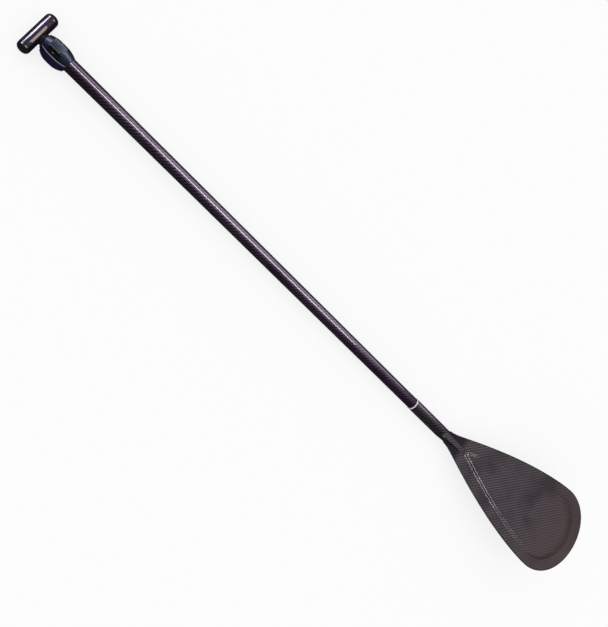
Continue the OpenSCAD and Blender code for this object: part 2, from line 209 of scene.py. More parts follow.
@dataclass(frozen=True)
class WovenCarbon(Finish):
    """Two-by-two twill carbon cloth under clear resin, read from a UV map counted in tows."""

    mottle: str = "#3a2a40"
    mottle_size: float = 60 * MM
    ribs: float = 0.5
    scale_marks: bool = False
    dark_shoulder_end: float | None = None

    def twill(self, tree: bpy.types.NodeTree) -> tuple[bpy.types.NodeSocket, bpy.types.NodeSocket]:
        """Two-by-two twill: the lengthwise tow is on top where (column - row) mod 4 is 0 or 1.

        Returns:
            The mask of lengthwise tows, and the height of the tow on top, which is
            1 - (2 f - 1) squared at the share f of the way across it.
        """
        place = add(tree, "UVMap", uv_map="tows").outputs[0]
        parts = add(tree, "SeparateXYZ", {0: place})
        cells, rounds = [], []
        for axis in (0, 1):
            cells.append(add(tree, "Math", {0: parts.outputs[axis]}, operation="FLOOR").outputs[0])
            across = add(tree, "Math", {0: parts.outputs[axis]}, operation="FRACT").outputs[0]
            centred = add(tree, "Math", {0: across, 1: 2.0, 2: -1.0}, operation="MULTIPLY_ADD").outputs[0]
            square = add(tree, "Math", {0: centred, 1: centred}, operation="MULTIPLY").outputs[0]
            rounds.append(add(tree, "Math", {0: 1.0, 1: square}, operation="SUBTRACT").outputs[0])
        step = add(tree, "Math", {0: cells[0], 1: cells[1]}, operation="SUBTRACT").outputs[0]
        turn = add(tree, "Math", {0: step, 1: 4.0}, operation="FLOORED_MODULO").outputs[0]
        mask = add(tree, "Math", {0: turn, 1: 1.5}, operation="LESS_THAN").outputs[0]
        height = add(tree, "Mix", {"Factor": mask, 2: rounds[0], 3: rounds[1]}).outputs[0]
        return mask, height

    def pattern(self, tree: bpy.types.NodeTree) -> tuple:
        """Ribs of light and dark tows, broad tinted mottling, and darker shoulders or printed marks."""
        mask, height = self.twill(tree)
        lit = add(tree, "Math", {0: mask, 1: self.ribs}, operation="MULTIPLY").outputs[0]
        shade = add(tree, "Math", {0: height, 1: 1 - self.ribs, 2: lit}, operation="MULTIPLY_ADD").outputs[0]
        colour = self.blended(tree, shade)
        place = add(tree, "TexCoord").outputs["Object"]
        spots = add(tree, "TexNoise", {"Vector": place, "Scale": 1 / self.mottle_size, "Detail": 1.0})
        tint = add(tree, "MapRange", {"Value": spots.outputs[0], "From Min": 0.45, "From Max": 0.75,
                                      "To Max": 0.6})
        colour = add(tree, "Mix", {"Factor": tint.outputs[0], 6: colour, 7: linear(self.mottle)},
                     data_type="RGBA").outputs[2]
        if self.dark_shoulder_end is not None:
            colour = self.shoulder_and_tip_tones(tree, place, colour)
        if self.scale_marks:
            colour = self.marked(tree, place, colour)
        return colour, self.varied(tree, mask, 0.07), height, 0.08 * MM

    def shoulder_and_tip_tones(self, tree: bpy.types.NodeTree, place: bpy.types.NodeSocket,
                colour: bpy.types.NodeSocket) -> bpy.types.NodeSocket:
        """Darkens the shoulders beside the ridge near the neck, and makes the colour a warmer brown towards
        the tip.
        """
        parts = add(tree, "SeparateXYZ", {0: place})
        before = add(tree, "MapRange", {"Value": parts.outputs[0], "From Min": self.dark_shoulder_end - 14 * MM,
                                        "From Max": self.dark_shoulder_end + 6 * MM, "To Min": 0.86, "To Max": 0.0},
                     interpolation_type="SMOOTHSTEP").outputs[0]
        aside = add(tree, "Math", {0: parts.outputs[1]}, operation="ABSOLUTE").outputs[0]
        off_ridge = add(tree, "MapRange", {"Value": aside, "From Min": 4 * MM, "From Max": 9 * MM},
                        interpolation_type="SMOOTHSTEP").outputs[0]
        dark = add(tree, "Math", {0: before, 1: off_ridge}, operation="MULTIPLY").outputs[0]
        warm = add(tree, "MapRange", {"Value": parts.outputs[0], "From Min": self.dark_shoulder_end + 200 * MM,
                                      "From Max": self.dark_shoulder_end + 420 * MM, "To Max": 0.4},
                   interpolation_type="SMOOTHSTEP").outputs[0]
        warmed = add(tree, "Mix", {"Factor": warm, 6: colour, 7: linear("#7d5f55")},
                     data_type="RGBA").outputs[2]
        return add(tree, "Mix", {"Factor": dark, 6: warmed, 7: linear("#0b0912")},
                   data_type="RGBA").outputs[2]

    def marked(self, tree: bpy.types.NodeTree, place: bpy.types.NodeSocket,
               colour: bpy.types.NodeSocket) -> bpy.types.NodeSocket:
        """Prints pale length marks on the upper side: a tick each 10 mm, 0.6 mm wide and 8 mm long."""
        parts = add(tree, "SeparateXYZ", {0: place})
        turn = add(tree, "Math", {0: parts.outputs[0], 1: 10 * MM}, operation="FLOORED_MODULO").outputs[0]
        tick = add(tree, "Math", {0: turn, 1: 0.6 * MM}, operation="LESS_THAN").outputs[0]
        aside = add(tree, "Math", {0: parts.outputs[1]}, operation="ABSOLUTE").outputs[0]
        narrow = add(tree, "Math", {0: aside, 1: 4 * MM}, operation="LESS_THAN").outputs[0]
        upper = add(tree, "Math", {0: parts.outputs[2], 1: 25 * MM}, operation="GREATER_THAN").outputs[0]
        inked = add(tree, "Math", {0: tick, 1: narrow}, operation="MULTIPLY").outputs[0]
        inked = add(tree, "Math", {0: inked, 1: upper}, operation="MULTIPLY").outputs[0]
        return add(tree, "Mix", {"Factor": inked, 6: colour, 7: linear("#c9cbd2")},
                   data_type="RGBA").outputs[2]


@dataclass(frozen=True)
class TurnedMetal(Finish):
    """Turned or pressed stainless steel: fine tool lines across the piece."""

    line: float = 0.12 * MM

    def pattern(self, tree: bpy.types.NodeTree) -> tuple:
        """Tool lines as noise stretched across the shaft's direction."""
        place = add(tree, "TexCoord").outputs["Object"]
        stretched = add(tree, "Mapping", {"Vector": place, "Scale": (1 / self.line, 200.0, 200.0)})
        lines = add(tree, "TexNoise", {"Vector": stretched.outputs[0], "Scale": 1.0, "Detail": 2.0})
        return (self.blended(tree, lines.outputs[0]), self.varied(tree, lines.outputs[0], 0.08),
                lines.outputs[0], 0.01 * MM)


@dataclass(frozen=True)
class CellFoam(Finish):
    """Closed-cell foam: small round cells, open where the surface is cut."""

    cell: float = 0.8 * MM

    def pattern(self, tree: bpy.types.NodeTree) -> tuple:
        """Cells by distance to the nearest scattered point."""
        place = add(tree, "TexCoord").outputs["Object"]
        cells = add(tree, "TexVoronoi", {"Vector": place, "Scale": 1 / self.cell}).outputs["Distance"]
        return self.blended(tree, cells), self.varied(tree, cells, 0.05), cells, 0.3 * MM


# ---------------------------------------------------------------- surfaces


def bent(corners: Points, radius: float, steps: int = 5) -> Points:
    """Rounds the corners of a closed outline.

    Each corner p is cut at the points a and b, `radius` away from it along both sides, and the
    cut is bridged by (1 - t)^2 a + 2 t (1 - t) p + t^2 b for t from 0 to 1.

    Args:
        corners: outline points, shape (n, 2).
        radius: distance from a corner to each cut, metres.
        steps: points along each rounded corner.

    Returns:
        The rounded outline, its first point repeated at the end, shape (n * steps + 1, 2).
    """
    before = np.roll(corners, 1, axis=0) - corners
    after = np.roll(corners, -1, axis=0) - corners
    start = corners + before / np.linalg.norm(before, axis=1, keepdims=True) * radius
    end = corners + after / np.linalg.norm(after, axis=1, keepdims=True) * radius
    t = np.linspace(0, 1, steps)[None, :, None]
    arcs = (1 - t) ** 2 * start[:, None] + 2 * t * (1 - t) * corners[:, None] + t**2 * end[:, None]
    outline = arcs.reshape(-1, 2)
    return np.vstack([outline, outline[:1]])


def turned(outline: Points, axis: Axis, centre: tuple[float, float], around: int = 96) -> Points:
    """Carries an outline round an axis.

    The point at angle a is (along, centre + radius sin a, centre + radius cos a), with the
    first two exchanged where the axis runs along Y.

    Args:
        outline: distance along the axis and radius of each point, shape (n, 2).
        axis: direction of the axis.
        centre: the axis's place in its two other directions.
        around: faces round the axis.

    Returns:
        Grid of points, shape (n, around + 1, 3).
    """
    angle = np.linspace(0, 2 * np.pi, around + 1)[None]
    along = np.repeat(outline[:, :1], around + 1, axis=1)
    side = centre[0] + outline[:, 1:] * np.sin(angle)
    up = centre[1] + outline[:, 1:] * np.cos(angle)
    return np.stack([along, side, up] if axis is Axis.X else [side, along, up], axis=-1)


def tows_round(grid: Points, outline: Points, count: int, tow: float) -> Points:
    """UV map of a turned piece, counted in tows.

    The first value runs from 0 to `count` round the axis, and the second is the length along
    the outline over the tow's width.

    Args:
        grid: the turned grid, which gives the map's shape.
        outline: the outline that was turned.
        count: tows round the axis, a multiple of four, so that the twill closes on itself.
        tow: width of a tow, metres.

    Returns:
        UV of each grid point, shape (rows, columns, 2).
    """
    length = np.concatenate([[0], np.cumsum(np.linalg.norm(np.diff(outline, axis=0), axis=1))])
    share = np.linspace(0, count, grid.shape[1])
    return np.stack(np.broadcast_arrays(share[None], length[:, None] / tow), axis=-1)


def lids(columns: int, rows: int) -> Points:
    """Faces that close both ends of a loft whose rings run out along one side and back along the other.

    Args:
        columns: points in a ring, its first point repeated at the end.
        rows: rings in the loft.

    Returns:
        Quads that join point j to its partner across the ring, at the first and the last ring.
    """
    half = (columns - 1) // 2
    near = np.arange(half - 1)
    far = columns - 2 - near
    strip = np.stack([near, near + 1, far - 1, far], axis=-1)
    return np.vstack([strip, strip[:, ::-1] + (rows - 1) * columns])


def piece(name: str, grid: Points, uv: Points, body: Body, material: bpy.types.Material,
          replaces: str, closed_ends: bool = False) -> bpy.types.Object:
    """Makes a piece from a grid of points and puts it in the part's place.

    Doubled points at seams and poles are merged, faces are turned outwards, and edges sharper
    than 40 degrees stay sharp under smooth shading.

    Args:
        name: the piece's name.
        grid: points, shape (rows, columns, 3).
        uv: map of each point, shape (rows, columns, 2).
        body: the body it moves with.
        material: its material.
        replaces: the CAD node that it stands for.
        closed_ends: whether the first and last ring get lids.

    Returns:
        The new object.
    """
    rows, columns = grid.shape[:2]
    index = np.arange(rows * columns).reshape(rows, columns)
    quads = np.stack([index[:-1, :-1], index[1:, :-1], index[1:, 1:], index[:-1, 1:]], axis=-1).reshape(-1, 4)
    if closed_ends:
        quads = np.vstack([quads, lids(columns, rows)])
    mesh = bpy.data.meshes.new(name)
    mesh.from_pydata(grid.reshape(-1, 3).tolist(), [], quads.tolist())
    layer = mesh.uv_layers.new(name="tows")
    layer.data.foreach_set("uv", uv.reshape(-1, 2)[quads.ravel()].astype(np.float32).ravel())
    return settled(name, mesh, body, material, replaces)


def settled(name: str, mesh: bpy.types.Mesh, body: Body, material: bpy.types.Material,
            replaces: str) -> bpy.types.Object:
    """Welds a mesh, turns its faces outwards, gives it its material, hands it to its body and hides its CAD
    node.

    Args:
        name: the piece's name.
        mesh: its mesh, in place.
        body: the body it moves with.
        material: its material.
        replaces: the CAD node that it stands for.

    Returns:
        The new object.
    """
    work = bmesh.new()
    work.from_mesh(mesh)
    bmesh.ops.remove_doubles(work, verts=work.verts, dist=0.001 * MM)
    bmesh.ops.recalc_face_normals(work, faces=work.faces)
    work.to_mesh(mesh)
    work.free()
    mesh.shade_smooth()
    mesh.set_sharp_from_angle(angle=math.radians(40))
    mesh.materials.clear()
    mesh.materials.append(material)
    made = bpy.data.objects.new(name, mesh)
    bpy.context.scene.collection.objects.link(made)
    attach(made, body.value)
    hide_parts(replaces)
    log.info("%s: %d faces for %s", name, len(mesh.polygons), replaces)
    return made


def eased(node: str, name: str, body: Body, material: bpy.types.Material,
          edge: float) -> bpy.types.Object:
    """Copies a machined or moulded CAD node and rounds its edges as the real piece's are.

    Args:
        node: the CAD node.
        name: the new piece's name.
        body: the body it moves with.
        material: its material.
        edge: how far the rounding reaches from each edge.

    Returns:
        The new object, with a live bevel.
    """
    made = settled(name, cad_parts[node].data.copy(), body, material, node)
    work = bmesh.new()
    work.from_mesh(made.data)
    bmesh.ops.dissolve_limit(work, angle_limit=math.radians(1), verts=work.verts, edges=work.edges)
    work.to_mesh(made.data)
    work.free()
    bevel = made.modifiers.new("rounded edges", "BEVEL")
    bevel.width = edge
    bevel.segments = 3
    bevel.limit_method = "ANGLE"
    bevel.angle_limit = math.radians(32)
    bevel.harden_normals = True
    return made


def dress(node: str, material: bpy.types.Material) -> None:
    """Gives a CAD node its material and leaves its mesh alone."""
    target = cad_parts[node]
    if not target.material_slots:
        target.data.materials.append(material)
    for slot in target.material_slots:
        slot.material = material
    log.info("%s: CAD mesh in %s", node, material.name)


def smooth(t: Points) -> Points:
    """Smooth step: 3 t^2 - 2 t^3, with t held between 0 and 1."""
    t = np.clip(t, 0, 1)
    return t * t * (3 - 2 * t)


# ---------------------------------------------------------------- sub-assemblies


@dataclass
class Tube:
    """A round laminate tube along the shaft, its size taken from a CAD node."""

    node: str
    name: str
    body: Body
    slot: str
    wall: float
    tows: int
    edge: float = 0.3 * MM
    groove: float = 0.0
    groove_width: float = 4 * MM

    def outline(self) -> Points:
        """Closed outline of the wall: out along the outside, back along the bore, edges rounded."""
        low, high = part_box(self.node)
        outer = (high.y - low.y) / 2
        corners = [[low.x, outer], [high.x, outer], [high.x, outer - self.wall], [low.x, outer - self.wall]]
        return bent(np.array(corners), self.edge)

    def build(self, material: bpy.types.Material) -> bpy.types.Object:
        """Turns the outline round the shaft's axis and presses the anti-twist groove into its underside.

        The outside radius falls by groove * (1 - smooth((offset - half width) / edge)), where the
        offset is the point's distance from the lowest line of the tube.

        Args:
            material: the tube's material.

        Returns:
            The tube.
        """
        low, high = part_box(self.node)
        centre_z = high.z - (high.y - low.y) / 2
        outline = self.outline()
        grid = turned(outline, Axis.X, (0.0, centre_z), 192)
        if self.groove:
            offset = np.where(grid[..., 2] < centre_z, np.abs(grid[..., 1]), 1.0)
            outside = outline[:, 1:] > outline[:, 1].max() - self.wall / 2
            sink = self.groove * (1 - smooth((offset - self.groove_width / 2 + self.edge) / (2 * self.edge)))
            grid[..., 2] += sink * outside
        width = 2 * np.pi * outline[:, 1].max() / self.tows
        uv = tows_round(grid, outline, self.tows, width)
        return piece(self.name, grid, uv, self.body, material, self.node)


@dataclass
class Grip:
    """The T-grip: a glossy tube across the palm, two domed caps and the moulded T-piece inside."""

    bar_wall: float = 2.4 * MM
    crease: float = 0.7 * MM
    dome_power: float = 2.3
    plug: float = 6 * MM
    tows: int = 36

    def bar(self, shell: bpy.types.Material) -> bpy.types.Object:
        """Palm bar: a tube along Y whose rounded ends leave a fine crease beside each cap."""
        low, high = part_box("palm_bar")
        outer = (high.z - low.z) / 2
        inner = outer - self.bar_wall
        corners = [[low.y, outer], [high.y, outer], [high.y, inner], [low.y, inner]]
        outline = bent(np.array(corners), self.crease)
        grid = turned(outline, Axis.Y, ((low.x + high.x) / 2, (low.z + high.z) / 2), 128)
        uv = tows_round(grid, outline, self.tows, 2 * np.pi * outer / self.tows)
        return piece("palm_bar_shell", grid, uv, Body.GRIP, shell, "palm_bar")

    def cap(self, node: str, name: str, material: bpy.types.Material) -> bpy.types.Object:
        """Domed cap with a plug into the bar.

        The dome's radius is R (1 - t^p)^(1/p) at the share t of its height, with p a little over
        2, so that it is fuller than a half ball and blunter at its pole.

        Args:
            node: the CAD cap.
            name: the new piece's name.
            material: its material.

        Returns:
            The cap.
        """
        low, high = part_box(node)
        bar_low, bar_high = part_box("palm_bar")
        side = 1 if high.y > 0 else -1
        seat = bar_high.y if side > 0 else bar_low.y
        tip = high.y if side > 0 else low.y
        outer = (high.z - low.z) / 2
        turn = np.linspace(0, np.pi / 2, 40)
        share = np.sin(turn) ** (2 / self.dome_power)
        radius = outer * np.cos(turn) ** (2 / self.dome_power)
        radius[-1] = 0.0
        dome = np.stack([seat + (tip - seat) * share, radius], axis=-1)
        plug_radius = outer - self.bar_wall
        foot = np.array([[seat - side * self.plug, 0.0], [seat - side * self.plug, plug_radius],
                         [seat, plug_radius], [seat, outer - self.crease],
                         [seat + side * 0.15 * MM, outer - 0.2 * MM]])
        outline = np.vstack([foot, dome[3:]])
        grid = turned(outline, Axis.Y, ((low.x + high.x) / 2, (low.z + high.z) / 2), 96)
        uv = tows_round(grid, outline, self.tows, 2 * np.pi * outer / self.tows)
        return piece(name, grid, uv, Body.GRIP, material, node)

    def build(self, shell: bpy.types.Material, caps: bpy.types.Material, core: bpy.types.Material) -> None:
        """Builds the bar and both caps, and dresses the T-piece."""
        self.bar(shell)
        self.cap("end_cap_left", "palm_cap_left", caps)
        self.cap("end_cap_right", "palm_cap_right", caps)
        dress("grip_core", core)


@dataclass
class Clamp:
    """The cam-lever clamp: body, bush, lever and the steel pieces that pull it closed."""

    body_edge: float = 0.45 * MM
    lever_edge: float = 0.7 * MM

    def build(self, body: bpy.types.Material, lever: bpy.types.Material, bush: bpy.types.Material,
              pin: bpy.types.Material, fastener: bpy.types.Material) -> None:
        """Rounds the moulded pieces' edges and dresses the bush and the hardware.

        Args:
            body: the clamp body's nylon.
            lever: the lever's nylon.
            bush: the bush's acetal.
            pin: the lever pin's steel.
            fastener: the steel of the bolt, its washer and the plate under the cam.
        """
        eased("clamp_body", "clamp_shell", Body.SHAFT, body, self.body_edge)
        eased("clamp_lever", "cam_lever", Body.LEVER, lever, self.lever_edge)
        dress("clamp_liner", bush)
        dress("lever_pin", pin)
        for node in ("cam_plate", "clamp_bolt", "bolt_washer"):
            dress(node, fastener)


@dataclass
class Side:
    """One face of the blade: the height of its cored panel over the rim, and which way it faces."""

    node: str
    name: str
    panel_height: float
    facing: int


SIDES = (Side("blade_front_skin", "blade_face", 6 * MM, 1),
         Side("blade_back_skin", "blade_back", 3 * MM, -1))


@dataclass
class Blade:
    """The blade: two carbon skins over a foam core, and the moulded strip round the edge."""

    length: float = 500 * MM
    half_width: float = 112 * MM
    widest: float = 400 * MM
    angle: float = math.radians(8.5)
    scoop: float = 6 * MM
    skin: float = 1.2 * MM
    rim: float = 22 * MM
    tip_rim: float = 26 * MM
    panel_start: float = 72 * MM
    throat: float = 15 * MM
    bevel: float = 8 * MM
    tip_slope: float = 40 * MM
    ridge_end: float = 26 * MM
    rail: float = 2.4 * MM
    tow: float = 2.3 * MM

    def place(self, c: Points, v: Points, n: Points) -> Points:
        """Puts blade coordinates into the frame.

        Args:
            c: distance from the throat along the blade.
            v: distance across.
            n: height over the blade's middle surface, which is scooped by scoop (v / half width)^2.

        Returns:
            Points (throat + c cos angle, v, axis + c sin angle + scoop + n).
        """
        low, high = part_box("outer_shaft")
        axis_z = (low.z + high.z) / 2
        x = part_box("blade_neck")[1].x + c * math.cos(self.angle)
        z = axis_z + c * math.sin(self.angle) + self.scoop * (v / self.half_width) ** 2 + n
        return np.stack(np.broadcast_arrays(x, v, z), axis=-1)

    def leaf(self, c: Points, start: float, shoulder: float, end: float, half: float, power: float) -> Points:
        """Half width of a leaf shape.

        half (1 - (1 - u)^power) up to the shoulder, where u runs from 0 to 1, and
        half sqrt(1 - w^2) from there to the end, where w runs from 0 to 1; nothing outside.
        """
        opening = half * (1 - (1 - np.clip((c - start) / (shoulder - start), 0, 1)) ** power)
        closing = half * np.sqrt(np.clip(1 - ((c - shoulder) / (end - shoulder)) ** 2, 0, 1))
        return np.where((c <= start) | (c >= end), 0.0, np.where(c < shoulder, opening, closing))

    def outline(self, c: Points) -> Points:
        """Blade's half width: the fourth-power mean of the leaf and of the throat's fading radius."""
        leaf = self.leaf(c, 0.0, self.widest, self.length, self.half_width, 1.55)
        return (leaf**4 + (self.throat * (1 - c / self.length)) ** 4) ** 0.25

    def panel(self, c: Points) -> Points:
        """Half width of the cored panel."""
        return self.leaf(c, self.panel_start, self.widest - 5 * MM, self.length - self.tip_rim,
                         self.half_width - self.rim, 1.45)

    def core(self, c: Points) -> Points:
        """Half width of the thick middle: the panel, or the ridge that carries the neck into it."""
        ridge = self.ridge_reach(c) * (1 - self.skin / self.throat)
        return np.minimum(np.maximum(self.panel(c), ridge), self.outline(c) - 0.8 * MM)

    def ridge_fade(self, c: Points) -> Points:
        """Share of the way from the round throat to the ridge's narrow end."""
        return smooth(c / (self.panel_start * 1.25))

    def ridge_reach(self, c: Points) -> Points:
        """Half width of the ridge, down to 40 percent of the throat's radius."""
        return self.throat * (1 - 0.6 * self.ridge_fade(c))

    def ridge(self, c: Points, v: Points, top: float) -> Points:
        """Half-round ridge from the neck: high sqrt(1 - (v / reach)^2), sinking into the panel."""
        high = self.throat + (top - self.throat) * self.ridge_fade(c)
        round_part = high * np.sqrt(np.clip(1 - (v / self.ridge_reach(c)) ** 2, 0, 1))
        return round_part * (1 - smooth((c - self.panel_start) / self.ridge_end))

    def face(self, c: Points, v: Points, top: float) -> Points:
        """Height of a face: the rim's skin, the panel, or the ridge, whichever is highest.

        The panel's height is top smooth(inside / bevel) smooth(0.25 + before / tip slope), where
        inside is the distance from its side edge and before the distance from its elliptical end.
        """
        inside = self.panel(c) - np.abs(v)
        half, reach = self.half_width - self.rim, self.length - self.tip_rim - self.widest
        before = self.widest + reach * np.sqrt(np.clip(1 - (v / half) ** 2, 0, 1)) - c
        panel = top * smooth(inside / self.bevel) * smooth(0.25 + before / self.tip_slope)
        return np.maximum(self.skin + panel, self.ridge(c, v, top + self.skin))

    def rows(self) -> Points:
        """Distances along the blade, closing up round the elliptical tip, as a column."""
        tip = self.widest + (self.length - self.widest) * np.sin(np.radians(np.linspace(0, 86.8, 60)))
        return np.concatenate([np.linspace(0, self.widest, 180)[:-1], tip])[:, None]

    def columns(self, c: Points) -> Points:
        """Distances across the blade in each row: rim, bevel and middle each get their own share."""
        edge, thick = self.outline(c), self.core(c)
        step = np.maximum(thick - self.bevel, 0.4 * thick)
        rim = edge + (thick - edge) * np.linspace(0, 1, 13)[None, :-1]
        bevel = thick + (step - thick) * np.linspace(0, 1, 19)[None, :-1]
        middle = step * np.linspace(1, 0, 31)[None]
        half = np.hstack([rim, bevel, middle])
        return np.hstack([-half, half[:, -2::-1]])

    def skin_piece(self, side: Side, material: bpy.types.Material) -> bpy.types.Object:
        """One skin: its face, and its inside one skin's thickness below over the core.

        Args:
            side: which skin.
            material: its carbon.

        Returns:
            The skin, closed at the throat, the tip and both edges.
        """
        c = self.rows()
        v = self.columns(c)
        outside = self.face(c, v, side.panel_height)
        inside = np.where(np.abs(v) >= self.core(c), 0.0, np.maximum(0.0, outside - self.skin))
        upper = self.place(c, v, side.facing * outside)
        lower = self.place(c, v, side.facing * inside)[:, ::-1]
        ring = np.concatenate([upper, lower, upper[:, :1]], axis=1)
        return piece(side.name, ring, ring[..., :2] / self.tow, Body.SHAFT, material,
                     side.node, closed_ends=True)

    def foam_core(self, material: bpy.types.Material) -> bpy.types.Object:
        """Foam between the skins: a loft of pointed ovals that fills their insides."""
        c = self.rows()
        c = c[c[:, 0] < self.length - self.tip_rim - 2 * MM]
        v = self.core(c) * np.linspace(-1, 1, 61)[None]
        sides = [side.facing * np.maximum(0.0, self.face(c, v, side.panel_height) - self.skin)
                 for side in SIDES]
        sides = [height * (np.abs(v) < self.core(c)) for height in sides]
        upper, lower = (self.place(c, v, height) for height in sides)
        ring = np.concatenate([upper, lower[:, ::-1], upper[:, :1]], axis=1)
        return piece("foam_core", ring, ring[..., :2] / self.tow, Body.SHAFT, material,
                     "blade_core", closed_ends=True)

    def edge_strip(self, material: bpy.types.Material) -> bpy.types.Object:
        """Moulded strip: a half-round section carried round the blade's edge.

        The section runs from one face to the other as (reach cos a, thickness sin a) for a from
        90 down to -90 degrees, where reach points out of the blade, square to its outline.

        Args:
            material: the strip's plastic.

        Returns:
            The strip.
        """
        c = self.rows()[:, 0]
        c = c[c > 20 * MM]
        left = np.stack([c, -self.outline(c)], axis=-1)
        path = np.vstack([left, left[::-1] * [1, -1]])
        along = np.gradient(path, axis=0)
        out = np.stack([along[:, 1], -along[:, 0]], axis=-1) / np.linalg.norm(along, axis=1, keepdims=True)
        angle = np.linspace(np.pi / 2, -np.pi / 2, 13)
        reach = np.concatenate([self.rail * np.cos(angle), [0.0]])
        rise = np.concatenate([self.skin * np.sin(angle), [self.skin]])
        flat = path[:, None] + out[:, None] * reach[None, :, None]
        ring = self.place(flat[..., 0], flat[..., 1], np.broadcast_to(rise, flat.shape[:2]))
        return piece("blade_edge_strip", ring, ring[..., :2] / self.tow, Body.SHAFT, material,
                     "edge_rail", closed_ends=True)

    def build(self, skins: bpy.types.Material, strip: bpy.types.Material,
              foam: bpy.types.Material) -> None:
        """Builds both skins, the edge strip and the core."""
        for side in SIDES:
            self.skin_piece(side, skins)
        self.edge_strip(strip)
        self.foam_core(foam)


# ---------------------------------------------------------------- studio


@dataclass
class Card:
    """A light panel, for reflections or for soft shading: its place, what it faces, size and strength."""

    name: str
    place: tuple[float, float, float]
    target: tuple[float, float, float]
    size: tuple[float, float]
    radiance: float
    lit: tuple[str, ...]
    colour: str = "#ffffff"
    turn: float = 0.0
    shades: bool = False

    def build(self) -> None:
        """Makes the panel as a rectangular area light that only reaches the pieces it names.

        Its long side runs along X where it can, and is then turned about the aim.
        """
        lamp = bpy.data.lights.new(self.name, "AREA")
        lamp.shape = "RECTANGLE"
        lamp.size, lamp.size_y = self.size
        lamp.color = linear(self.colour)[:3]
        lamp.energy = self.radiance * math.pi * self.size[0] * self.size[1]
        made = bpy.data.objects.new(self.name, lamp)
        aim = (Vector(self.target) - Vector(self.place)).normalized()
        side = (Vector((1, 0, 0)) - aim * aim.x).normalized()
        axes = Matrix((side, (-aim).cross(side), -aim)).transposed().to_4x4()
        made.matrix_world = Matrix.Translation(self.place) @ axes @ Matrix.Rotation(self.turn, 4, "Z")
        made.visible_camera = False
        made.visible_diffuse = self.shades
        made.visible_glossy = not self.shades
        bpy.context.scene.collection.objects.link(made)
        reached = bpy.data.collections.new(self.name)
        for name in self.lit:
            reached.objects.link(bpy.data.objects[name])
        made.light_linking.receiver_collection = reached


